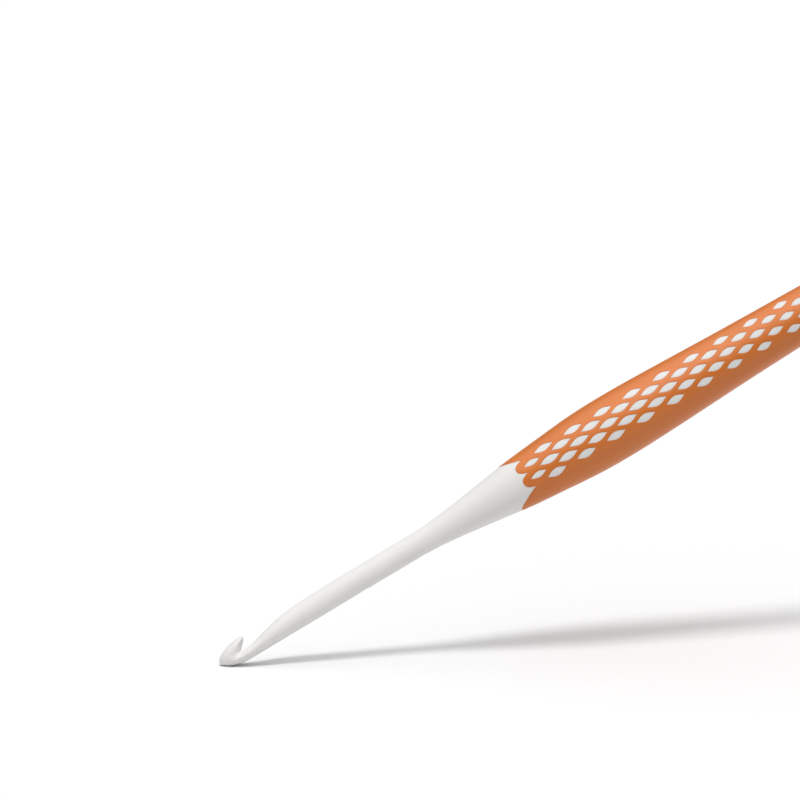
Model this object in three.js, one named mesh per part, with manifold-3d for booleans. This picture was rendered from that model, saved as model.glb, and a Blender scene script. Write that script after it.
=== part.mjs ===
// Crochet hook with a soft-grip handle, as the two mouldings that it is made of:
//   hook_core   hard white polymer: hook head, neck, shaft, handle core with lens bosses, tail
//   grip_skin   soft orange sleeve around the handle core, with lens windows for the bosses
//
// Millimetres. The tool lies along X, hook tip at the low end and tail at the high end.
// The mouth of the hook faces +Z. The patterned sides of the grip face -Y and +Y.
// Shapes are made with the tip at x = 0 on the tool's axis, and the whole is then
// placed so that the grip's belly rests on z = 0 and the tool is centred on x = 0.

import * as THREE from 'three';
import { mergeGeometries, mergeVertices } from 'three/addons/utils/BufferGeometryUtils.js';
import Module from 'manifold-3d';

const wasm = await Module();
wasm.setup();

// ---- Driving dimensions ----

const LENGTH = 160;            // tip to tail
const SHAFT_R = 2.5;           // the hook's size is the shaft's diameter, 5 mm
const BELLY_R = 6.8;           // thickest place of the grip
const BELLY_X = 93;
const NOSE_LENGTH = 7;         // from the tip to where the head reaches the shaft's radius
const NOSE_ALONG = 2.4;        // exponents of the head's superellipse
const NOSE_ACROSS = 1.6;
const SHAFT_END_X = 46;        // the flare starts here
const TAIL_START_X = 152;      // the tail's rounding starts here
const TAIL_R = 4.95;
const TAIL_TAPER = 0.034;      // radius lost per millimetre
const TAIL_FACE_R = 2;         // flat disc at the very end

const LIP_CENTRE_X = 3.15;     // the lip of the hook is round about an upright axis here
const LIP_ROOT_R = 1.55;       // its radius in the throat
const LIP_TIP_R = 3.55;        // and at its tip
const LIP_ROOT_Z = -0.3;
const LIP_TIP_Z = 1.7;
const THROAT_FRONT_X = 2.6;    // the throat's groove runs no further forward, and is deepest there
const THROAT_FRONT_Z = -0.8;
const THROAT_FLOOR_X = 6;
const THROAT_FLOOR_Z = -0.25;
const NECK_END_X = 23.5;       // the neck has the shaft's full height here
const NECK_BEND = { x: 9.5, z: 0.2 };   // the curve of the neck's ramp is drawn toward here
const NECK_CREST = { x: 14, z: 2.3 };   // and then toward here
const NECK_SADDLE_Z = -2.2;    // the neck's upper face is round about a line at this height

const SKIN_THICKNESS = 0.8;
const CLEARANCE = 0.1;         // kept between the two mouldings, all round
const POINT_CLEARANCE = 3;     // and this many times that, endways at points
const BOSS_DEPTH = 0.04;       // the flat tops of the bosses lie this far below the grip's surface
const LENS_DEPTH = 1.6;        // lens bosses and windows start this deep, inside the core

const COLUMN_PITCH = 3.51;     // lens columns along the grip
const ROW_PITCH = 1.443;       // lens rows, seen square to the patterned side
const FIRST_COLUMN_X = 71.86;  // column 0 opens into the scalloped front edge
const LAST_COLUMN = 22;        // and the last one into the rear edge
const PATTERN_LEVEL_X = 93;    // behind here the rows climb toward the tail
const PATTERN_CLIMB = 0.0085;  // by this much per millimetre
const LENS_LENGTH = 4.8;       // of the middle row's lenses
const LENS_WIDTH = 1.56;
const ROW_NARROWING = 0.014;   // share that a lens loses, times its row number squared
const SHRINK_FROM_COLUMN = 8;  // lenses get smaller from here to the tail
const LENGTH_SHRINK = 0.105;   // per column
const WIDTH_SHRINK = 0.014;
const END_LENS_SCALE = 0.8;    // the first and last whole columns have small lenses
const LENS_SHOULDER = 1 / 3;   // a lens is widest up to this part of the way to its points

const CUSP_X = 73.65;          // points of the front edge, measured from the tip
const LOBE_X = 71.75;
const LOBE_PITCH = 3.1;        // from point to point
const LOBE_SHOULDER = { x: 0.3, z: 0.36 };  // where a lobe's front bends, from its middle (z in pitches)
const TONGUE_X = 68.7;         // the edge on the tool's upper and lower seam lines
const TONGUE_Z = 5;

const BODY_SIDES = 20;         // a multiple of four
const THROAT_SIDES = 48;
const LIP_SIDES = 40;
const NECK_STEPS = 10;
const GRIP_STEPS = { flare: 6, core: 10, skinFront: 4, skinRear: 7 };
const NOSE_STATIONS = [0, 0.12, 0.45, 1, 1.8, 2.8, 4, 5.4];
const TAIL_STATIONS = [0.35, 0.62, 0.82, 0.95, 1];   // parts of the tail's length
const REACH = 12;              // cutters stand this far past the body
const SLEEVE_RUNOUT = 2;       // the plain sleeve runs on this far before its ends are cut

// ---- Body outline ----

// [distance from the tip, radius] along the flare and grip, between the shaft and the tail.
const GRIP_STATIONS = [
  [SHAFT_END_X, SHAFT_R], [51, 2.72], [56, 3.25], [63.5, 4.26], [71, 5.27], [78.5, 5.97],
  [85.5, 6.57], [BELLY_X, BELLY_R], [104, 6.57], [120, 5.94], [138, 5.38], [TAIL_START_X, TAIL_R],
];

// Smooth curve through the stations: on each span a cubic whose end slopes are the
// mean of the slopes of the spans on both sides, and level at the first station.
function gripRadius(x) {
  const points = GRIP_STATIONS;
  const last = points.length - 1;
  const chord = (i) => (points[i + 1][1] - points[i][1]) / (points[i + 1][0] - points[i][0]);
  const slope = (i) => {
    if (i === 0) return 0;
    if (i === last) return chord(last - 1);
    return (chord(i - 1) + chord(i)) / 2;
  };
  const found = points.findIndex((point) => point[0] > x);
  const i = found < 0 ? last - 1 : found - 1;
  const span = points[i + 1][0] - points[i][0];
  const t = (x - points[i][0]) / span;
  const rise = points[i + 1][1] - points[i][1];
  const start = slope(i) * span;
  const end = slope(i + 1) * span;
  return points[i][1] + t * (start + t * ((3 * rise - 2 * start - end) + t * (start + end - 2 * rise)));
}

// The head is a blunt drop: a superellipse that meets the shaft smoothly.
function noseRadius(x) {
  return SHAFT_R * (1 - (1 - x / NOSE_LENGTH) ** NOSE_ALONG) ** (1 / NOSE_ACROSS);
}

// The tail keeps the grip's taper and closes in a quarter ellipse onto its flat end face.
function tailRadius(x) {
  const t = (x - TAIL_START_X) / (LENGTH - TAIL_START_X);
  const taper = TAIL_R - TAIL_TAPER * (x - TAIL_START_X);
  return TAIL_FACE_R + (taper - TAIL_FACE_R) * Math.sqrt(Math.max(0, 1 - t * t));
}

function bodyRadius(x) {
  if (x < NOSE_LENGTH) return noseRadius(x);
  if (x < SHAFT_END_X) return SHAFT_R;
  if (x < TAIL_START_X) return gripRadius(x);
  return tailRadius(x);
}

function steps(from, to, count) {
  return Array.from({ length: count + 1 }, (_, i) => from + (to - from) * i / count);
}

// ---- Helpers ----

function toSolid(geometry) {
  geometry.deleteAttribute('normal');
  geometry.deleteAttribute('uv');
  const merged = mergeVertices(geometry, 1e-4);
  return new wasm.Manifold(new wasm.Mesh({
    numProp: 3,
    vertProperties: new Float32Array(merged.attributes.position.array),
    triVerts: new Uint32Array(merged.index.array),
  }));
}

function toGeometry(solid) {
  const mesh = solid.getMesh();
  const geometry = new THREE.BufferGeometry();
  geometry.setAttribute('position', new THREE.BufferAttribute(mesh.vertProperties, 3));
  geometry.setIndex(new THREE.BufferAttribute(mesh.triVerts, 1));
  geometry.computeVertexNormals();
  return geometry;
}

// Revolves an outline of [x, radius] points about the X axis. The flats, not the corners,
// lie at the outline's radius, and flats face straight up, down and sideways.
function revolveAboutX(outline, sides) {
  const half = Math.PI / sides;
  const points = outline.map(([x, radius]) => new THREE.Vector2(radius / Math.cos(half), x));
  return new THREE.LatheGeometry(points, sides, half).rotateZ(-Math.PI / 2);
}

// A flat outline of [x, z] points, made into a prism that passes through the whole tool along Y.
function prismAcross(outline) {
  const shape = new THREE.Shape(outline.map(([x, z]) => new THREE.Vector2(x, z)));
  const prism = new THREE.ExtrudeGeometry(shape, { depth: 2 * REACH, bevelEnabled: false });
  return prism.translate(0, 0, -REACH).rotateX(Math.PI / 2);
}

// ---- Hook head ----

// What is cut away above the neck: a ring whose inner face is the saddle-shaped floor
// of the throat and the neck's long ramp up to the shaft.
function neckCutter() {
  const floor = new THREE.CubicBezierCurve(
    new THREE.Vector2(THROAT_FLOOR_X, THROAT_FLOOR_Z),
    new THREE.Vector2(NECK_BEND.x, NECK_BEND.z),
    new THREE.Vector2(NECK_CREST.x, NECK_CREST.z),
    new THREE.Vector2(NECK_END_X, SHAFT_R),
  );
  const ramp = floor.getPoints(NECK_STEPS).map((point) => [point.x, point.y - NECK_SADDLE_Z]);
  const corner = [THROAT_FRONT_X, THROAT_FRONT_Z - NECK_SADDLE_Z];
  const outline = [corner, [THROAT_FRONT_X, REACH], [NECK_END_X, REACH], ...ramp.reverse(), corner];
  return toSolid(revolveAboutX(outline, THROAT_SIDES).translate(0, 0, NECK_SADDLE_Z));
}

// What stays of the lip: a round post that flares upward, so that it overhangs the throat.
function lipKeeper() {
  const outline = [
    [0, -REACH], [LIP_ROOT_R, -REACH], [LIP_ROOT_R, LIP_ROOT_Z],
    [LIP_TIP_R, LIP_TIP_Z], [LIP_TIP_R, REACH], [0, REACH],
  ].map(([radius, z]) => new THREE.Vector2(radius, z));
  const post = new THREE.LatheGeometry(outline, LIP_SIDES).rotateX(Math.PI / 2);
  return toSolid(post.translate(LIP_CENTRE_X, 0, 0));
}

// ---- Lens lattice ----

// How far the pattern's middle line lies above the tool's middle plane.
function patternLift(x) {
  return PATTERN_CLIMB * Math.max(0, x - PATTERN_LEVEL_X);
}

// Even columns have three lenses and odd columns two, so that the rows are staggered.
// The length and width are those seen square to the patterned side.
function lensLayout() {
  const lenses = [];
  for (let column = 1; column < LAST_COLUMN; column += 1) {
    const rows = column % 2 === 0 ? [-2, 0, 2] : [-1, 1];
    const late = Math.max(0, column - SHRINK_FROM_COLUMN);
    const endScale = column === 1 || column === LAST_COLUMN - 1 ? END_LENS_SCALE : 1;
    const x = FIRST_COLUMN_X + column * COLUMN_PITCH;
    for (const row of rows) {
      const scale = endScale * (1 - ROW_NARROWING * row * row);
      lenses.push({
        x,
        z: row * ROW_PITCH + patternLift(x),
        length: scale * (LENS_LENGTH - late * LENGTH_SHRINK),
        width: scale * (LENS_WIDTH - late * WIDTH_SHRINK),
      });
    }
  }
  return lenses;
}

// Pointed lens prism that stands square on the grip's surface, on one side of the tool,
// between two depths measured inward from that surface.
function lensPrism({ x, z, length, width }, side, deep, shallow, clearance) {
  const radius = bodyRadius(x);
  const climb = Math.asin(z / radius);
  const tip = (length - POINT_CLEARANCE * clearance) / 2;
  const flank = (width / Math.cos(climb) - 2 * clearance) / 2;
  const shoulder = tip * LENS_SHOULDER;
  const shape = new THREE.Shape([
    new THREE.Vector2(tip, 0), new THREE.Vector2(shoulder, flank), new THREE.Vector2(-shoulder, flank),
    new THREE.Vector2(-tip, 0), new THREE.Vector2(-shoulder, -flank), new THREE.Vector2(shoulder, -flank),
  ]);
  const prism = new THREE.ExtrudeGeometry(shape, { depth: deep - shallow, bevelEnabled: false });
  prism.translate(0, 0, radius - deep);
  return prism.rotateX(side * (climb - Math.PI / 2)).translate(x, 0, 0);
}

function lensPrisms(deep, shallow, clearance) {
  const prisms = lensLayout().flatMap((lens) => [-1, 1].map(
    (side) => lensPrism(lens, side, deep, shallow, clearance),
  ));
  return toSolid(mergeGeometries(prisms));
}

// ---- Scalloped ends of the grip ----

// Edge line from the upper seam to the lower one: cusps between round lobes, moved up by a lift.
function scallopedEdge(lift) {
  const edge = [[TONGUE_X, REACH], [TONGUE_X, TONGUE_Z], [CUSP_X, lift + LOBE_PITCH]];
  for (const middle of [0.5, -0.5]) {
    edge.push([LOBE_X + LOBE_SHOULDER.x, lift + (middle + LOBE_SHOULDER.z) * LOBE_PITCH]);
    edge.push([LOBE_X, lift + middle * LOBE_PITCH]);
    edge.push([LOBE_X + LOBE_SHOULDER.x, lift + (middle - LOBE_SHOULDER.z) * LOBE_PITCH]);
    edge.push([CUSP_X, lift + (middle - 0.5) * LOBE_PITCH]);
  }
  edge.push([TONGUE_X, -TONGUE_Z], [TONGUE_X, -REACH]);
  return edge;
}

// Prism of all that lies before the front edge, or, mirrored, behind the rear edge.
function endPrism(clearance, atRear) {
  const middle = FIRST_COLUMN_X + LAST_COLUMN * COLUMN_PITCH / 2;
  const beyond = TONGUE_X - 2 * REACH;
  const lift = atRear ? patternLift(2 * middle - CUSP_X) : 0;
  const outline = scallopedEdge(lift).map(([x, z]) => [x - POINT_CLEARANCE * clearance, z]);
  outline.push([beyond, -REACH], [beyond, REACH]);
  if (!atRear) return toSolid(prismAcross(outline));
  return toSolid(prismAcross(outline.map(([x, z]) => [2 * middle - x, z]).reverse()));
}

// ---- The two mouldings ----

// Plain sleeve over the grip length, with its scalloped ends, as thick as the skin. As
// the pocket that the skin leaves in the core it has a clearance, and stands out proud.
function sleeve(clearance, proud) {
  const front = TONGUE_X - SLEEVE_RUNOUT;
  const rear = 2 * FIRST_COLUMN_X + LAST_COLUMN * COLUMN_PITCH - front;
  const stations = [
    ...steps(front, BELLY_X, GRIP_STEPS.skinFront),
    ...steps(BELLY_X, rear, GRIP_STEPS.skinRear).slice(1),
  ];
  const outer = stations.map((x) => [x, bodyRadius(x) + proud]);
  const inner = stations.map((x) => [x, bodyRadius(x) - SKIN_THICKNESS - clearance]).reverse();
  const ring = toSolid(revolveAboutX([...outer, ...inner, outer[0]], BODY_SIDES));
  return ring.subtract(endPrism(clearance, false)).subtract(endPrism(clearance, true));
}

function hookCore() {
  const stations = [
    ...NOSE_STATIONS, NOSE_LENGTH, NECK_END_X,
    ...steps(SHAFT_END_X, TONGUE_X, GRIP_STEPS.flare),
    ...steps(TONGUE_X, TAIL_START_X, GRIP_STEPS.core).slice(1),
    ...TAIL_STATIONS.map((part) => TAIL_START_X + part * (LENGTH - TAIL_START_X)),
  ];
  const outline = [...stations.map((x) => [x, bodyRadius(x)]), [LENGTH, 0]];
  const body = toSolid(revolveAboutX(outline, BODY_SIDES));
  const throat = neckCutter().subtract(lipKeeper());
  const bosses = lensPrisms(LENS_DEPTH, BOSS_DEPTH, CLEARANCE);
  const pocket = sleeve(CLEARANCE, SKIN_THICKNESS);
  return toGeometry(body.subtract(throat).subtract(pocket).add(bosses));
}

function gripSkin() {
  const windows = lensPrisms(LENS_DEPTH, -SKIN_THICKNESS, 0);
  return toGeometry(sleeve(0, 0).subtract(windows));
}

// ---- Assembly ----

const whitePolymer = new THREE.MeshStandardMaterial({ color: 0xecebe8, roughness: 0.38, metalness: 0 });
const orangeElastomer = new THREE.MeshStandardMaterial({ color: 0xd5803f, roughness: 0.62, metalness: 0 });

const core = new THREE.Mesh(hookCore(), whitePolymer);
core.name = 'hook_core';

const skin = new THREE.Mesh(gripSkin(), orangeElastomer);
skin.name = 'grip_skin';

const group = new THREE.Group();
group.add(core, skin);
group.position.set(-LENGTH / 2, 0, BELLY_R);

export default group;
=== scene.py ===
"""A crochet hook with a soft grip: its looks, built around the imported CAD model.

Shapes are worked out in tool coordinates, in millimetres: x runs along the tool from the
hook's tip, z points out of the hook's mouth, and the tool's axis is at y = z = 0.
The two mouldings of the real tool are two pieces here, as they are in the CAD model.
"""

import math
from functools import partial

import bmesh
import bpy
import numpy as np
from mathutils import Matrix, Vector
from mathutils.geometry import delaunay_2d_cdt


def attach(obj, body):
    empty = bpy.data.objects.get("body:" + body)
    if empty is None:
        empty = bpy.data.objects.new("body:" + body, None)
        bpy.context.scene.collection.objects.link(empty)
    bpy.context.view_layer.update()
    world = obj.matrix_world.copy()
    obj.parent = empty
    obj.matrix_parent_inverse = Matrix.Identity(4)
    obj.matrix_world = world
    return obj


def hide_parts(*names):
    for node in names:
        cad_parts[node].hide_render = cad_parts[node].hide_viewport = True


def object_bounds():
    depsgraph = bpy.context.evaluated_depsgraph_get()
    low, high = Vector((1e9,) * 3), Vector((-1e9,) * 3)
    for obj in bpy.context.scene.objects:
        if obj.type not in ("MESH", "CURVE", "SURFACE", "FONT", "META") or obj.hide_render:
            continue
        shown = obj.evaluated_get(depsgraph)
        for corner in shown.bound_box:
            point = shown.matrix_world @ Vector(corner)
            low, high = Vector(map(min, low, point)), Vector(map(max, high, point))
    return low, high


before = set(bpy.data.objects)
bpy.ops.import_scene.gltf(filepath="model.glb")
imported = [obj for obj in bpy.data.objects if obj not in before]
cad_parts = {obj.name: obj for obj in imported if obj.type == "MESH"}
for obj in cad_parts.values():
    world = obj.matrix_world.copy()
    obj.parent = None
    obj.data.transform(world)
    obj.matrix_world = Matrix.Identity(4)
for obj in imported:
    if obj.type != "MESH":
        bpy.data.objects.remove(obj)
cad_low, cad_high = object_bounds()

# ---- Sizes: the overall ones come from the frame ----

MM = 0.001
LENGTH = (cad_high.x - cad_low.x) / MM
BELLY_R = (cad_high.z - cad_low.z) / 2 / MM
TIP = Vector((cad_low.x, (cad_low.y + cad_high.y) / 2, (cad_low.z + cad_high.z) / 2))

SHAFT_R = 2.5
SHAFT_END_X = 46.0
NOSE_LENGTH = 7.0              # from the tip to where the head reaches the shaft's radius
NOSE_ALONG = 2.4               # exponents of the head's superellipse
NOSE_ACROSS = 1.6
NOSE_CORE = 0.05               # share of the radius inside which the nose's slope is held
TAIL_START_X = 152.0
TAIL_R = 4.95
TAIL_TAPER = 0.034             # radius lost per millimetre, at the tail
TAIL_FACE_R = 2.0

LIP_CENTRE_X = 3.15            # the lip is round about an upright axis here
LIP_ROOT_R = 1.55
LIP_ROOT_Z = -0.3
LIP_SPREAD = 1.0               # how fast the lip widens with height
LIP_SOFTNESS = 0.35            # height over which that widening sets in
LIP_TIP_X = 6.8
THROAT_FRONT_X = 2.6
NECK_ACROSS_R = 2.1            # radius of the neck's upper face, from side to side, at z = 0
NECK_ACROSS_GROWTH = 0.25      # and how fast it grows with the face's height
NECK_SLOPE_STEP = 0.01         # over which the slope of the neck's upper face is taken
NOTCH_FILLET = 0.5
RIM_FILLET = 0.42
HEAD_END_X = 34.0              # the head's mesh meets that of the plain shaft here

SKIN_THICKNESS = 0.8
EDGE_ROUND = 0.07              # rounding of the skin's edges
BOSS_ROUND = 0.04              # rounding of the edges of the bosses and collars
JOINT_GAP = 0.012              # between the two mouldings at the surface
FLUSH_STEP = 0.03              # the white surface lies this far below the skin's
FLOOR_DEPTH = SKIN_THICKNESS + JOINT_GAP     # of the core's surface under the skin
CORE_EDGE = -JOINT_GAP - BOSS_ROUND          # where its flat tops end, from the skin's edges

COLUMN_PITCH = 3.51
ROW_PITCH = 1.443              # seen square to the patterned side
FIRST_COLUMN_X = 71.86         # column 0 opens into the front edge
LAST_COLUMN = 22               # and the last one into the rear edge
PATTERN_LEVEL_X = 93.0         # behind here the rows climb toward the tail
PATTERN_CLIMB = 0.0085         # by this much per millimetre
LENS_LENGTH = 4.8              # of the middle row's lenses
LENS_WIDTH = 1.56
LENS_POINTEDNESS = 1.2
ROW_NARROWING = 0.014          # share that a lens loses, times its row number squared
SHRINK_FROM_COLUMN = 8         # lenses get smaller from here to the tail
LENGTH_SHRINK = 0.105          # per column
WIDTH_SHRINK = 0.014
END_LENS_SCALE = 0.8           # the first and last whole columns have small lenses
TIP_GROWTH = 1.8               # a lens with a margin is longer by this many margins at each tip

CUSP_X = 73.65                 # points of the skin's front edge
LOBE_X = 71.75                 # its rounded lobes reach this far forward
TONGUE_X = 68.7                # and its tongues, at the seams, this far
LOBE_HALF_WIDTH = 1.55         # half of the distance from point to point, seen from the side
LOBE_SQUARENESS = 2.8

# ---- Fineness of the meshes ----

RING_SIDES = 96
NECK_RINGS = 60
FAN_RINGS = 200
FAN_CROWDING = 1.5             # above 1, the fan's rings crowd toward the lip's tip
SHAFT_RINGS = 12
FLARE_RINGS = 25
TAIL_RINGS = 24
TAIL_FACE_SHARES = (0.7, 0.35)  # rings on the flat end, as shares of its radius
SPAN_SAMPLES = 1201            # along a ray through the whole head
SURFACE_SAMPLES = 181          # along a ray from the middle of the head to beyond its surface
HALVINGS = 40                  # of the last step, to find the place in it
LENS_STEPS = 18                # along a lens, tip to tip
LENS_ROWS = 5                  # across it
FLANK_STEPS = 9                # along the skin's end edge, from a seam to the first point
LOBE_STEPS = 16                # and round each lobe
ROUND_STEPS = 4                # over a rounded edge
SEAM_SPACING = 0.8             # of the points along a seam
PATCH_SPACING = 0.55           # of the points inside a patch, in staggered rows
PATCH_ROW_STEP = 0.87          # from row to row, in spacings
PATCH_CLEARANCE = 0.62         # from any point of an edge, in spacings
SEAM_CLEARANCE = 0.3
SAME_POINT = 1e-6              # flat points this close are one
WELD_DISTANCE = 2e-3
SLIVER_LENGTH = 1e-5


# ---- Body outline ----

def clamped_spline(points, slope_in, slope_out):
    """Cubic spline through the points with those end slopes, as a function of x."""
    xs, ys = np.array(points, float).T
    h = np.diff(xs)
    count = len(xs)
    matrix = np.zeros((count, count))
    right = np.zeros(count)
    matrix[0, :2] = 2 * h[0], h[0]
    matrix[-1, -2:] = h[-1], 2 * h[-1]
    right[0] = 6 * ((ys[1] - ys[0]) / h[0] - slope_in)
    right[-1] = 6 * (slope_out - (ys[-1] - ys[-2]) / h[-1])
    for i in range(1, count - 1):
        matrix[i, i - 1:i + 2] = h[i - 1], 2 * (h[i - 1] + h[i]), h[i]
        right[i] = 6 * ((ys[i + 1] - ys[i]) / h[i] - (ys[i] - ys[i - 1]) / h[i - 1])
    bend = np.linalg.solve(matrix, right)

    def at(x):
        x = np.asarray(x, float)
        i = np.clip(np.searchsorted(xs, x, side="right") - 1, 0, count - 2)
        before, after = x - xs[i], xs[i + 1] - x
        curve = (bend[i] * after**3 + bend[i + 1] * before**3) / (6 * h[i])
        low = (ys[i] / h[i] - bend[i] * h[i] / 6) * after
        high = (ys[i + 1] / h[i] - bend[i + 1] * h[i] / 6) * before
        return curve + low + high

    return at


grip_radius = clamped_spline(
    [(SHAFT_END_X, SHAFT_R), (51, 2.72), (56, 3.25), (63.5, 4.26), (71, 5.27), (78.5, 5.97),
     (85.5, 6.57), (93, BELLY_R), (104, 6.57), (120, 5.94), (138, 5.38), (TAIL_START_X, TAIL_R)],
    slope_in=0.0, slope_out=-TAIL_TAPER,
)


def body_radius(x):
    """Radius of the finished tool behind the head: shaft, flare, grip and tail."""
    x = np.asarray(x, float)
    t = np.clip((x - TAIL_START_X) / (LENGTH - TAIL_START_X), 0, 1)
    taper = TAIL_R - TAIL_TAPER * (x - TAIL_START_X)
    tail = TAIL_FACE_R + (taper - TAIL_FACE_R) * np.sqrt(1 - t * t)
    grip = grip_radius(np.clip(x, SHAFT_END_X, TAIL_START_X))
    return np.where(x > TAIL_START_X, tail, grip)


# ---- Hook head as a solid: negative inside, in millimetres near its surface ----

throat_floor = clamped_spline(
    [(THROAT_FRONT_X, -0.8), (6.0, -0.25), (8.0, 0.07), (10.0, 0.6), (14.0, 1.6), (20.0, 2.35),
     (26.0, 2.72), (HEAD_END_X, 3.2)],
    slope_in=0.15, slope_out=0.06,
)


def rounded_cut(a, b, radius):
    """Where two solids overlap, with the edge between them rounded."""
    corner = np.hypot(np.maximum(radius + a, 0), np.maximum(radius + b, 0))
    return np.minimum(-radius, np.maximum(a, b)) + corner


def rounded_join(a, b, radius):
    """Two solids together, with a fillet between them."""
    return -rounded_cut(-a, -b, radius)


def drop_solid(x, y, z):
    """The nose and the shaft, without the throat."""
    across = np.hypot(y, z) / SHAFT_R
    along = np.maximum(1 - x / NOSE_LENGTH, 0)
    level = along**NOSE_ALONG + across**NOSE_ACROSS - 1
    steep_x = NOSE_ALONG / NOSE_LENGTH * along ** (NOSE_ALONG - 1)
    steep_r = NOSE_ACROSS / SHAFT_R * np.maximum(across, NOSE_CORE) ** (NOSE_ACROSS - 1)
    return level / np.hypot(steep_x, steep_r)


def neck_solid(x, y, z):
    """What lies under the throat's floor and the neck's upper face."""
    step = NECK_SLOPE_STEP
    slope = (throat_floor(x + step) - throat_floor(x - step)) / (2 * step)
    across = NECK_ACROSS_R + NECK_ACROSS_GROWTH * throat_floor(x)
    height = np.hypot(y, z - throat_floor(x) + across) - across
    return height / np.hypot(1, slope)


def lip_solid(x, y, z):
    """The lip's round post, which leans out on all sides above its root."""
    rise = z - LIP_ROOT_Z
    spread = LIP_SPREAD * (rise + np.hypot(rise, LIP_SOFTNESS)) / 2
    return (np.hypot(x - LIP_CENTRE_X, y) - LIP_ROOT_R - spread) / np.hypot(1, LIP_SPREAD)


def head_solid(x, y, z):
    lip = rounded_cut(lip_solid(x, y, z), x - LIP_TIP_X, RIM_FILLET)
    front = rounded_join(lip, x - THROAT_FRONT_X, NOTCH_FILLET)
    kept = rounded_join(neck_solid(x, y, z), front, NOTCH_FILLET)
    return rounded_cut(drop_solid(x, y, z), kept, RIM_FILLET)


# ---- Hook head as a mesh: rings that sweep up the neck and fan around the throat ----

PIVOT_X = 7.6                  # in the open throat, clear of the lip
PIVOT_Z = 1.1
HEAD_REACH = 9.0               # a ray this long crosses the whole head
NECK_RAY_Z = SHAFT_R + 1       # the rays that fall on the neck start here


def middle_span(x0, z0, dx, dz):
    """Where a ray in the tool's middle plane enters and leaves the head solid."""
    ts = np.linspace(0, HEAD_REACH, SPAN_SAMPLES)
    inside = head_solid(x0 + dx * ts, 0 * ts, z0 + dz * ts) < 0
    hits = np.flatnonzero(inside)
    return (ts[hits[0]], ts[hits[-1]]) if len(hits) else None


def last_before(low, high, is_past):
    """Last place before the test turns true, between places where it is false and true."""
    for _ in range(HALVINGS):
        middle = (low + high) / 2
        past = is_past(middle)
        high = np.where(past, middle, high)
        low = np.where(past, low, middle)
    return low


def head_ring(x0, z0, dx, dz):
    """Closed ring of points in the plane that holds the given ray and the y direction."""
    near, far = middle_span(x0, z0, dx, dz)
    centre = (near + far) / 2
    cx, cz = x0 + dx * centre, z0 + dz * centre
    turn = np.linspace(0, 2 * np.pi, RING_SIDES, endpoint=False)
    ux, uy, uz = -dx * np.cos(turn), np.sin(turn), -dz * np.cos(turn)

    def is_outside(t):
        return head_solid(cx + ux * t, uy * t, cz + uz * t) > 0

    steps = np.linspace(0, HEAD_REACH / 2, SURFACE_SAMPLES)[:, None]
    first = is_outside(steps).argmax(axis=0)
    t = last_before(steps[first - 1, 0], steps[first, 0], is_outside)
    return np.column_stack([cx + ux * t, uy * t, cz + uz * t])


def fan_ray(angle):
    """Ray from the pivot: straight down at 0, forward at 90 degrees, then up and back."""
    return PIVOT_X, PIVOT_Z, -math.sin(angle), -math.cos(angle)


def lip_end_angle():
    """The fan's last angle, where its rays leave the lip's tip."""
    def is_clear(angle):
        return middle_span(*fan_ray(angle)) is None

    return float(last_before(math.pi / 2, 1.5 * math.pi, is_clear))


def head_rings():
    rings = []
    for x in np.linspace(HEAD_END_X, PIVOT_X, NECK_RINGS, endpoint=False):
        rings.append(head_ring(x, NECK_RAY_Z, 0.0, -1.0))
    end = lip_end_angle()
    for t in np.linspace(0, 1, FAN_RINGS, endpoint=False):
        rings.append(head_ring(*fan_ray(end * (1 - (1 - t) ** FAN_CROWDING))))
    return rings


# ---- Mesh building ----

class Builder:
    """Collects patches of points and faces in tool coordinates and welds them into one mesh."""

    def __init__(self):
        self.points = []
        self.faces = []

    def add_points(self, points):
        start = len(self.points)
        self.points.extend(map(tuple, points))
        return np.arange(start, len(self.points))

    def strip(self, first, second, closed=True):
        """Quads between two rows of point numbers."""
        count = len(first) if closed else len(first) - 1
        for i in range(count):
            j = (i + 1) % len(first)
            self.faces.append((first[i], first[j], second[j], second[i]))

    def strips(self, rows, closed=True):
        numbers = [self.add_points(row) for row in rows]
        for first, second in zip(numbers, numbers[1:]):
            self.strip(first, second, closed)
        return numbers

    def cap(self, ring):
        """Closes a ring with a fan about its middle point."""
        middle = self.add_points([np.mean([self.points[i] for i in ring], axis=0)])[0]
        for i in range(len(ring)):
            self.faces.append((ring[i], ring[(i + 1) % len(ring)], middle))

    def make(self, name):
        """The welded mesh as an object, at the tool's place in the frame."""
        mesh = bpy.data.meshes.new(name)
        places = [tuple(TIP + MM * Vector(p)) for p in self.points]
        mesh.from_pydata(places, [], [tuple(int(i) for i in face) for face in self.faces])
        work = bmesh.new()
        work.from_mesh(mesh)
        bmesh.ops.remove_doubles(work, verts=work.verts, dist=WELD_DISTANCE * MM)
        bmesh.ops.dissolve_degenerate(work, edges=work.edges, dist=SLIVER_LENGTH * MM)
        bmesh.ops.recalc_face_normals(work, faces=work.faces)
        work.to_mesh(mesh)
        work.free()
        mesh.shade_smooth()
        piece = bpy.data.objects.new(name, mesh)
        bpy.context.scene.collection.objects.link(piece)
        return piece


def body_ring(x, radius):
    turn = np.linspace(0, 2 * np.pi, RING_SIDES, endpoint=False)
    return np.column_stack([np.full(RING_SIDES, x), radius * np.sin(turn), radius * np.cos(turn)])


# ---- The patterned side, laid out flat as (x, q), where q runs round the tool ----

UNROLL_R = 6.5                 # q is the angle from the upper seam times this
HALF_TURN = math.pi * UNROLL_R
COLLAR_FRONT_X = 64.0
COLLAR_REAR_X = 2 * FIRST_COLUMN_X + LAST_COLUMN * COLUMN_PITCH - COLLAR_FRONT_X
GRIP_MIDDLE_X = (COLLAR_FRONT_X + COLLAR_REAR_X) / 2


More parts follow.
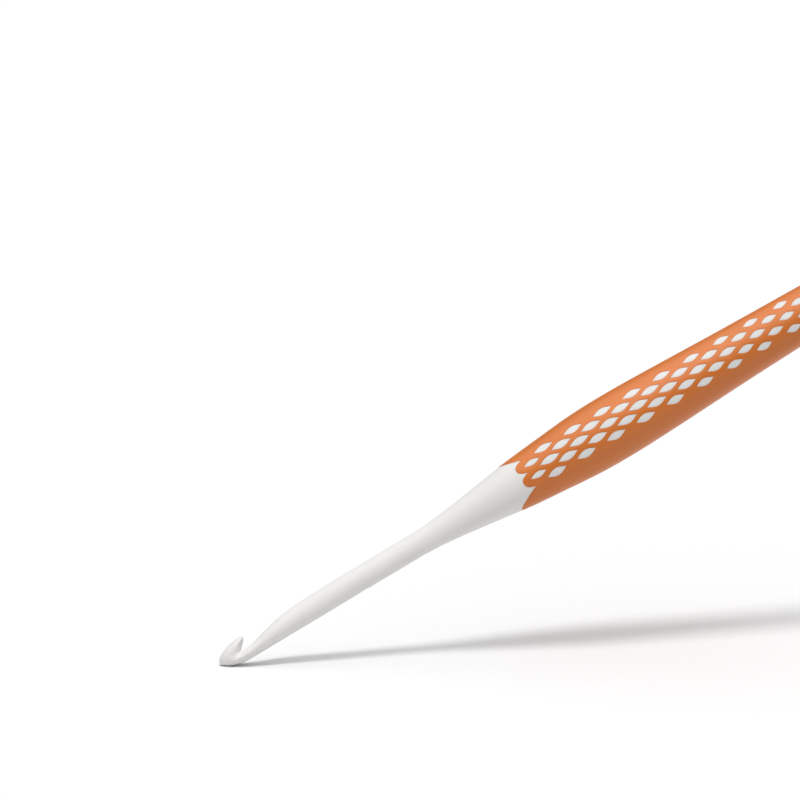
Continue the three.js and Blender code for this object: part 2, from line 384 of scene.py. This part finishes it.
def unroll(x, z):
    """Flat place of the point of the round surface that is seen at (x, z) from the side."""
    climb = np.clip(z / body_radius(x), -1, 1)
    return np.column_stack([x, UNROLL_R * np.arccos(climb)])


def roll(flat, depth, side):
    """Places on the round body of flat points, sunk below the skin's surface by a depth."""
    x, turn = flat[:, 0], flat[:, 1] / UNROLL_R
    radius = body_radius(x) - depth
    return np.column_stack([x, side * radius * np.sin(turn), radius * np.cos(turn)])


def pattern_lift(x):
    """How far the pattern's middle line lies above the tool's middle plane."""
    return PATTERN_CLIMB * max(0.0, x - PATTERN_LEVEL_X)


def lens_layout():
    """(x, z, length, width) of every lens. Even columns have three, odd ones two."""
    lenses = []
    for column in range(1, LAST_COLUMN):
        x = FIRST_COLUMN_X + column * COLUMN_PITCH
        late = max(0, column - SHRINK_FROM_COLUMN)
        end_scale = END_LENS_SCALE if column in (1, LAST_COLUMN - 1) else 1.0
        for row in (-2, 0, 2) if column % 2 == 0 else (-1, 1):
            scale = end_scale * (1 - ROW_NARROWING * row * row)
            lenses.append((
                x,
                row * ROW_PITCH + pattern_lift(x),
                scale * (LENS_LENGTH - late * LENGTH_SHRINK),
                scale * (LENS_WIDTH - late * WIDTH_SHRINK),
            ))
    return lenses


def lens_half_width(u):
    """Half width of a lens, as a share of its largest, at u from -1 to 1 along it."""
    return np.cos(u * np.pi / 2) ** LENS_POINTEDNESS


def lens_stations():
    return np.sin(np.linspace(-np.pi / 2, np.pi / 2, LENS_STEPS + 1))


def lens_rows(lens, margin, shares):
    """Flat rows of points along a lens with a margin, at those shares of its half width."""
    x, z, length, width = lens
    u = lens_stations()
    along = x + u * (length / 2 + TIP_GROWTH * margin)
    half = lens_half_width(u) * (width / 2 + margin)
    return [unroll(along, z + share * half) for share in shares]


def lens_loop(lens, margin):
    """Flat outline of a lens with a margin."""
    upper, lower = lens_rows(lens, margin, (1, -1))
    return np.vstack([upper, lower[-2:0:-1]])


def front_edge(shift, lift=0.0):
    """Flat line of the skin's scalloped front edge, upper seam to lower seam.

    The shift moves it along the tool, and the lift moves its points and lobes up.
    """
    flank = np.linspace(0, 1, FLANK_STEPS + 1)[:-1]
    seam_z = float(body_radius(TONGUE_X))
    top, bottom = lift + 2 * LOBE_HALF_WIDTH, lift - 2 * LOBE_HALF_WIDTH
    flank_x = TONGUE_X + (CUSP_X - TONGUE_X) * flank
    xs, zs = list(flank_x), list(seam_z + (top - seam_z) * flank)
    for row in (1, -1):
        for across in np.linspace(1, -1, LOBE_STEPS + 1)[:-1]:
            xs.append(LOBE_X + (CUSP_X - LOBE_X) * abs(across) ** LOBE_SQUARENESS)
            zs.append(lift + (row + across) * LOBE_HALF_WIDTH)
    xs += [CUSP_X, *flank_x[::-1]]
    zs += [bottom, *(-seam_z + (bottom + seam_z) * flank)[::-1]]
    line = unroll(np.array(xs), np.array(zs))
    line[0, 1], line[-1, 1] = 0.0, HALF_TURN
    line[:, 0] += shift
    return line


def rear_edge(shift):
    """The same line, turned round at the other end of the pattern."""
    line = front_edge(shift, pattern_lift(2 * GRIP_MIDDLE_X - CUSP_X))
    line[:, 0] = 2 * GRIP_MIDDLE_X - line[:, 0]
    return line


def seam_line(x_from, x_to, q):
    count = max(2, round(abs(x_to - x_from) / SEAM_SPACING) + 1)
    xs = np.linspace(x_from, x_to, count)
    return np.column_stack([xs, np.full(count, q)])


def patch(front, rear, holes):
    """Triangles over the flat area between two edge lines, around the holes."""
    upper = seam_line(front[0, 0], rear[0, 0], 0.0)[1:-1]
    lower = seam_line(front[-1, 0], rear[-1, 0], HALF_TURN)[1:-1]
    outline = np.vstack([front[::-1], upper, rear, lower[::-1]])
    loops = [outline, *holes]
    rim = np.vstack(loops)
    inner = patch_points(outline, rim)
    points = [Vector(p) for p in np.vstack([rim, inner])]
    faces, start = [], 0
    for loop in loops:
        faces.append(list(range(start, start + len(loop))))
        start += len(loop)
    places, _, triangles, _, _, sources = delaunay_2d_cdt(points, [], faces, 0, SAME_POINT, True)
    kept = [face for face, source in zip(triangles, sources) if list(source) == [0]]
    return np.array([tuple(p) for p in places]), kept


def patch_points(outline, rim):
    """Staggered points over the outline's box that stay clear of all edges."""
    low, high = outline.min(axis=0), outline.max(axis=0)
    rows = []
    for i, q in enumerate(np.arange(low[1], high[1], PATCH_SPACING * PATCH_ROW_STEP)):
        xs = np.arange(low[0] + (i % 2) * PATCH_SPACING / 2, high[0], PATCH_SPACING)
        rows.append(np.column_stack([xs, np.full(len(xs), q)]))
    points = np.vstack(rows)
    apart = np.array([((rim - p) ** 2).sum(axis=1).min() for p in points])
    inside = (points[:, 1] > SEAM_CLEARANCE) & (points[:, 1] < HALF_TURN - SEAM_CLEARANCE)
    return points[(apart > (PATCH_CLEARANCE * PATCH_SPACING) ** 2) & inside]


# ---- The two mouldings ----

def rounding(radius):
    """(inset, depth) pairs of a quarter round, from the flat surface over the edge."""
    turns = np.linspace(0, np.pi / 2, ROUND_STEPS + 1)
    return [(radius * math.sin(t), radius * (1 - math.cos(t))) for t in turns]


def add_patch(builder, flat, triangles, depth, side):
    numbers = builder.add_points(roll(flat, depth, side))
    for face in triangles:
        builder.faces.append(tuple(numbers[i] for i in face))


def add_skin_wall(builder, outline, side, closed):
    """Wall of the skin along an edge or a window, from the rounded outer edge inward."""
    rows = []
    for inset, depth in rounding(EDGE_ROUND):
        rows.append(roll(outline(EDGE_ROUND - inset), depth, side))
    rows.append(roll(outline(0.0), SKIN_THICKNESS - EDGE_ROUND, side))
    rows.append(roll(outline(EDGE_ROUND), SKIN_THICKNESS, side))
    builder.strips(rows, closed)


def make_skin():
    builder = Builder()
    lenses = lens_layout()
    windows = [lens_loop(lens, EDGE_ROUND) for lens in lenses]
    surface = patch(front_edge(EDGE_ROUND), rear_edge(EDGE_ROUND), windows)
    for side in (-1, 1):
        add_patch(builder, *surface, 0.0, side)
        add_patch(builder, *surface, SKIN_THICKNESS, side)
        for lens in lenses:
            add_skin_wall(builder, partial(lens_loop, lens), side, closed=True)
        for edge in (front_edge, rear_edge):
            add_skin_wall(builder, edge, side, closed=False)
    return builder.make("grip_sleeve")


def add_shaft(builder):
    """The shaft, and the flare, which sinks to the level of the collars."""
    stretches = (HEAD_END_X, SHAFT_END_X, SHAFT_RINGS), (SHAFT_END_X, COLLAR_FRONT_X, FLARE_RINGS)
    for x_from, x_to, count in stretches:
        xs = np.linspace(x_from, x_to, count)
        sunk = FLUSH_STEP * np.clip((xs - SHAFT_END_X) / (COLLAR_FRONT_X - SHAFT_END_X), 0, 1)
        builder.strips([body_ring(x, body_radius(x) - d) for x, d in zip(xs, sunk)])


def add_tail(builder):
    """The tail behind the rear collar, with closer rings toward its flat end."""
    xs = COLLAR_REAR_X + (LENGTH - COLLAR_REAR_X) * np.sin(np.linspace(0, np.pi / 2, TAIL_RINGS))
    sunk = FLUSH_STEP * (LENGTH - xs) / (LENGTH - COLLAR_REAR_X)
    rows = [body_ring(x, body_radius(x) - d) for x, d in zip(xs, sunk)]
    rows += [body_ring(LENGTH, TAIL_FACE_R * share) for share in TAIL_FACE_SHARES]
    builder.cap(builder.strips(rows)[-1])


def collar_line(x):
    """Straight line round the half body whose points match a body ring."""
    turn = np.linspace(0, np.pi, RING_SIDES // 2 + 1)
    return np.column_stack([np.full(len(turn), x), UNROLL_R * turn])


def add_core_wall(builder, outline, side, closed):
    """Wall of a collar or boss, from its rounded upper edge down to the floor under the skin."""
    rows = []
    for inset, depth in rounding(BOSS_ROUND):
        rows.append(roll(outline(CORE_EDGE + inset), FLUSH_STEP + depth, side))
    rows.append(roll(outline(-JOINT_GAP), FLOOR_DEPTH, side))
    builder.strips(rows, closed)


def add_core_grip(builder):
    """The handle core: collars up to the skin's edges, the floor under it, and the bosses."""
    lenses = lens_layout()
    bosses = [lens_loop(lens, -JOINT_GAP) for lens in lenses]
    front = patch(collar_line(COLLAR_FRONT_X), front_edge(CORE_EDGE), [])
    rear = patch(rear_edge(CORE_EDGE), collar_line(COLLAR_REAR_X), [])
    floor = patch(front_edge(-JOINT_GAP), rear_edge(-JOINT_GAP), bosses)
    for side in (-1, 1):
        add_patch(builder, *front, FLUSH_STEP, side)
        add_patch(builder, *rear, FLUSH_STEP, side)
        add_patch(builder, *floor, FLOOR_DEPTH, side)
        for edge in (front_edge, rear_edge):
            add_core_wall(builder, edge, side, closed=False)
        for lens in lenses:
            add_core_wall(builder, partial(lens_loop, lens), side, closed=True)
            top = lens_rows(lens, CORE_EDGE, np.linspace(1, -1, LENS_ROWS))
            builder.strips([roll(row, FLUSH_STEP, side) for row in top], closed=False)


def make_core():
    builder = Builder()
    head = builder.strips(head_rings()[::-1])
    builder.cap(head[0])
    add_shaft(builder)
    add_tail(builder)
    add_core_grip(builder)
    return builder.make("hook_body")


# ---- Materials ----

def new_material(name):
    material = bpy.data.materials.new(name)
    material.use_nodes = True
    nodes = material.node_tree.nodes
    return material, nodes, material.node_tree.links, nodes["Principled BSDF"]


def noise(nodes, links, coordinates, scale, detail):
    texture = nodes.new("ShaderNodeTexNoise")
    texture.inputs["Scale"].default_value = scale
    texture.inputs["Detail"].default_value = detail
    links.new(coordinates.outputs["Object"], texture.inputs["Vector"])
    return texture.outputs["Fac"]


def mapped(nodes, links, value, low, high):
    ramp = nodes.new("ShaderNodeMapRange")
    ramp.inputs["To Min"].default_value = low
    ramp.inputs["To Max"].default_value = high
    links.new(value, ramp.inputs["Value"])
    return ramp.outputs["Result"]


def mixed(nodes, links, factor, first, second):
    mix = nodes.new("ShaderNodeMix")
    mix.data_type = "RGBA"
    links.new(factor, mix.inputs["Factor"])
    mix.inputs["A"].default_value = (*first, 1)
    mix.inputs["B"].default_value = (*second, 1)
    return mix.outputs["Result"]


MOTTLE_DETAIL = 3.0
GRAIN_DETAIL = 2.0
LEAST_ROUGH = 0.36
MOST_ROUGH = 0.46


def satin_moulding(name, colours, mottle_scale, grain_scale, grain_strength, grain_height):
    """A satin plastic with a faint mottle between two colours and a fine moulded grain."""
    material, nodes, links, shader = new_material(name)
    coordinates = nodes.new("ShaderNodeTexCoord")
    mottle = noise(nodes, links, coordinates, mottle_scale, MOTTLE_DETAIL)
    links.new(mixed(nodes, links, mottle, *colours), shader.inputs["Base Color"])
    roughness = mapped(nodes, links, mottle, LEAST_ROUGH, MOST_ROUGH)
    links.new(roughness, shader.inputs["Roughness"])
    bump = nodes.new("ShaderNodeBump")
    bump.inputs["Strength"].default_value = grain_strength
    bump.inputs["Distance"].default_value = grain_height
    grain = noise(nodes, links, coordinates, grain_scale, GRAIN_DETAIL)
    links.new(grain, bump.inputs["Height"])
    links.new(bump.outputs["Normal"], shader.inputs["Normal"])
    return material, shader


def white_polymer():
    material, shader = satin_moulding(
        "white_polymer", colours=((0.72, 0.71, 0.695), (0.755, 0.745, 0.73)),
        mottle_scale=90.0, grain_scale=4000.0, grain_strength=0.15, grain_height=0.02 * MM,
    )
    shader.inputs["Subsurface Weight"].default_value = 0.25
    shader.inputs["Subsurface Radius"].default_value = (1.0, 0.9, 0.8)
    shader.inputs["Subsurface Scale"].default_value = 0.8 * MM
    shader.inputs["IOR"].default_value = 1.46
    shader.inputs["Specular IOR Level"].default_value = 0.2
    return material


def orange_elastomer():
    material, shader = satin_moulding(
        "orange_elastomer", colours=((0.557, 0.141, 0.0113), (0.593, 0.153, 0.0147)),
        mottle_scale=120.0, grain_scale=6000.0, grain_strength=0.3, grain_height=0.03 * MM,
    )
    shader.inputs["Sheen Weight"].default_value = 0.05
    shader.inputs["Sheen Roughness"].default_value = 0.5
    shader.inputs["IOR"].default_value = 1.5
    return material


# ---- Studio ----

ROLL_ANGLE = math.radians(11.5)      # the camera sees the patterned side from this far below
PICTURE_TILT = math.radians(30.9)    # the tool climbs to the right in the picture
CAMERA_PITCH = math.radians(14.3)    # and the camera looks down on the floor
TO_CAMERA = Vector((0.0, -math.cos(ROLL_ANGLE), -math.sin(ROLL_ANGLE)))
MOUTH_IN_PICTURE = Vector((0.0, -math.sin(ROLL_ANGLE), math.cos(ROLL_ANGLE)))
ALONG = Vector((1.0, 0.0, 0.0))
RIGHT = ALONG * math.cos(PICTURE_TILT) - MOUTH_IN_PICTURE * math.sin(PICTURE_TILT)
UP = ALONG * math.sin(PICTURE_TILT) + MOUTH_IN_PICTURE * math.cos(PICTURE_TILT)
FLOOR_UP = UP * math.cos(CAMERA_PITCH) + TO_CAMERA * math.sin(CAMERA_PITCH)
FLOOR_FRONT = RIGHT.cross(FLOOR_UP)  # level, toward the camera
PICTURE_WIDTH = 162.6 * MM
AIM_RIGHT = 36.7 * MM                # the picture's middle, from the hook's tip
AIM_UP = 53.5 * MM
CAMERA_LENS = 600.0                  # long, for a nearly flat view
CAMERA_SENSOR = 36.0
CAMERA_CLIP_START = 0.01
CAMERA_CLIP_END = 50.0
FLOOR_GREY = 0.82
FLOOR_REACH = 4.0                    # metres, to the back and the sides
FLOOR_REACH_FRONT = 0.3

KEY_ANGLE = math.radians(13)         # how large the key light looks from the floor
KEY_ELEVATION = math.radians(74)
KEY_STRENGTH = 1.49
SKY_ELEVATION = math.radians(79)
SKY_SPREAD = math.radians(78)
SKY_STRENGTH = 1.28                  # at the middle of a large glow
REFLECTION_GAIN = 2.8                # the lamps in the glow are brighter than it, as reflections show
ROOM_STRENGTH = 0.03


def above_front(elevation):
    """Direction at that height above the floor, on the camera's side."""
    return FLOOR_FRONT * math.cos(elevation) + FLOOR_UP * math.sin(elevation)


def facing(direction, up):
    """Rotation that turns an object's -Z axis along the direction, with its Y axis up."""
    back = -direction.normalized()
    right = up.cross(back).normalized()
    return Matrix((right, back.cross(right), back)).transposed().to_4x4()


def add_camera():
    data = bpy.data.cameras.new("camera")
    data.lens = CAMERA_LENS
    data.sensor_width = CAMERA_SENSOR
    distance = PICTURE_WIDTH * data.lens / data.sensor_width
    data.clip_start = CAMERA_CLIP_START
    data.clip_end = CAMERA_CLIP_END
    camera = bpy.data.objects.new("camera", data)
    bpy.context.scene.collection.objects.link(camera)
    aim = TIP + RIGHT * AIM_RIGHT + UP * AIM_UP
    camera.matrix_world = Matrix.Translation(aim + TO_CAMERA * distance) @ facing(-TO_CAMERA, UP)
    bpy.context.scene.camera = camera


def floor_material():
    """Matt pale paper that can be seen from above only."""
    material, nodes, links, shader = new_material("pale_floor")
    shader.inputs["Base Color"].default_value = (FLOOR_GREY, FLOOR_GREY, FLOOR_GREY, 1)
    shader.inputs["Roughness"].default_value = 0.9
    shader.inputs["Specular IOR Level"].default_value = 0.1
    geometry = nodes.new("ShaderNodeNewGeometry")
    clear = nodes.new("ShaderNodeBsdfTransparent")
    sides = nodes.new("ShaderNodeMixShader")
    links.new(geometry.outputs["Backfacing"], sides.inputs["Fac"])
    links.new(shader.outputs["BSDF"], sides.inputs[1])
    links.new(clear.outputs["BSDF"], sides.inputs[2])
    links.new(sides.outputs["Shader"], nodes["Material Output"].inputs["Surface"])
    return material


def add_floor(pieces):
    """A pale plane that the hook's head touches, under the leaning tool."""
    lowest = min(vertex.co.dot(FLOOR_UP) for piece in pieces for vertex in piece.data.vertices)
    mesh = bpy.data.meshes.new("floor")
    corners = [
        (-FLOOR_REACH, -FLOOR_REACH, 0), (FLOOR_REACH, -FLOOR_REACH, 0),
        (FLOOR_REACH, FLOOR_REACH_FRONT, 0), (-FLOOR_REACH, FLOOR_REACH_FRONT, 0),
    ]
    mesh.from_pydata(corners, [], [(0, 1, 2, 3)])
    floor = bpy.data.objects.new("floor", mesh)
    floor.matrix_world = Matrix.Translation(FLOOR_UP * lowest) @ facing(-FLOOR_UP, TO_CAMERA)
    bpy.context.scene.collection.objects.link(floor)
    mesh.materials.append(floor_material())


def add_key_light():
    data = bpy.data.lights.new("key", "SUN")
    data.angle = KEY_ANGLE
    data.energy = KEY_STRENGTH
    light = bpy.data.objects.new("key", data)
    light.matrix_world = facing(-above_front(KEY_ELEVATION), RIGHT)
    bpy.context.scene.collection.objects.link(light)


def add_world():
    """A large soft glow above and a little in front, in a dim room, before a white backdrop.

    Reflections see the glow brighter than it lights, and only the camera sees the backdrop.
    """
    world = bpy.data.worlds.new("studio")
    world.use_nodes = True
    bpy.context.scene.world = world
    nodes, links = world.node_tree.nodes, world.node_tree.links
    coordinates = nodes.new("ShaderNodeTexCoord")
    share = nodes.new("ShaderNodeVectorMath")
    share.operation = "DOT_PRODUCT"
    share.inputs[1].default_value = above_front(SKY_ELEVATION)
    links.new(coordinates.outputs["Generated"], share.inputs[0])
    glow = nodes.new("ShaderNodeMapRange")
    glow.interpolation_type = "SMOOTHSTEP"
    glow.inputs["From Min"].default_value = math.cos(SKY_SPREAD)
    glow.inputs["From Max"].default_value = 1.0
    glow.inputs["To Min"].default_value = ROOM_STRENGTH
    glow.inputs["To Max"].default_value = SKY_STRENGTH
    links.new(share.outputs["Value"], glow.inputs["Value"])
    rays = nodes.new("ShaderNodeLightPath")
    soft = nodes.new("ShaderNodeBackground")
    gain = nodes.new("ShaderNodeMapRange")
    gain.inputs["To Min"].default_value = 1.0
    gain.inputs["To Max"].default_value = REFLECTION_GAIN
    links.new(rays.outputs["Is Glossy Ray"], gain.inputs["Value"])
    seen = nodes.new("ShaderNodeMath")
    seen.operation = "MULTIPLY"
    links.new(glow.outputs["Result"], seen.inputs[0])
    links.new(gain.outputs["Result"], seen.inputs[1])
    links.new(seen.outputs["Value"], soft.inputs["Strength"])
    soft.inputs["Color"].default_value = (1, 1, 1, 1)
    backdrop = nodes.new("ShaderNodeBackground")
    backdrop.inputs["Color"].default_value = (1, 1, 1, 1)
    choice = nodes.new("ShaderNodeMixShader")
    links.new(rays.outputs["Is Camera Ray"], choice.inputs["Fac"])
    links.new(soft.outputs["Background"], choice.inputs[1])
    links.new(backdrop.outputs["Background"], choice.inputs[2])
    links.new(choice.outputs["Shader"], nodes["World Output"].inputs["Surface"])


# ---- Assembly ----

def finish_piece(piece, node, material):
    piece.data.materials.append(material)
    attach(piece, "root")
    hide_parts(node)


add_camera()
core = make_core()
skin = make_skin()
finish_piece(core, "hook_core", white_polymer())
finish_piece(skin, "grip_skin", orange_elastomer())
add_floor([core, skin])
add_key_light()
add_world()
bpy.context.scene.view_settings.view_transform = "Standard"
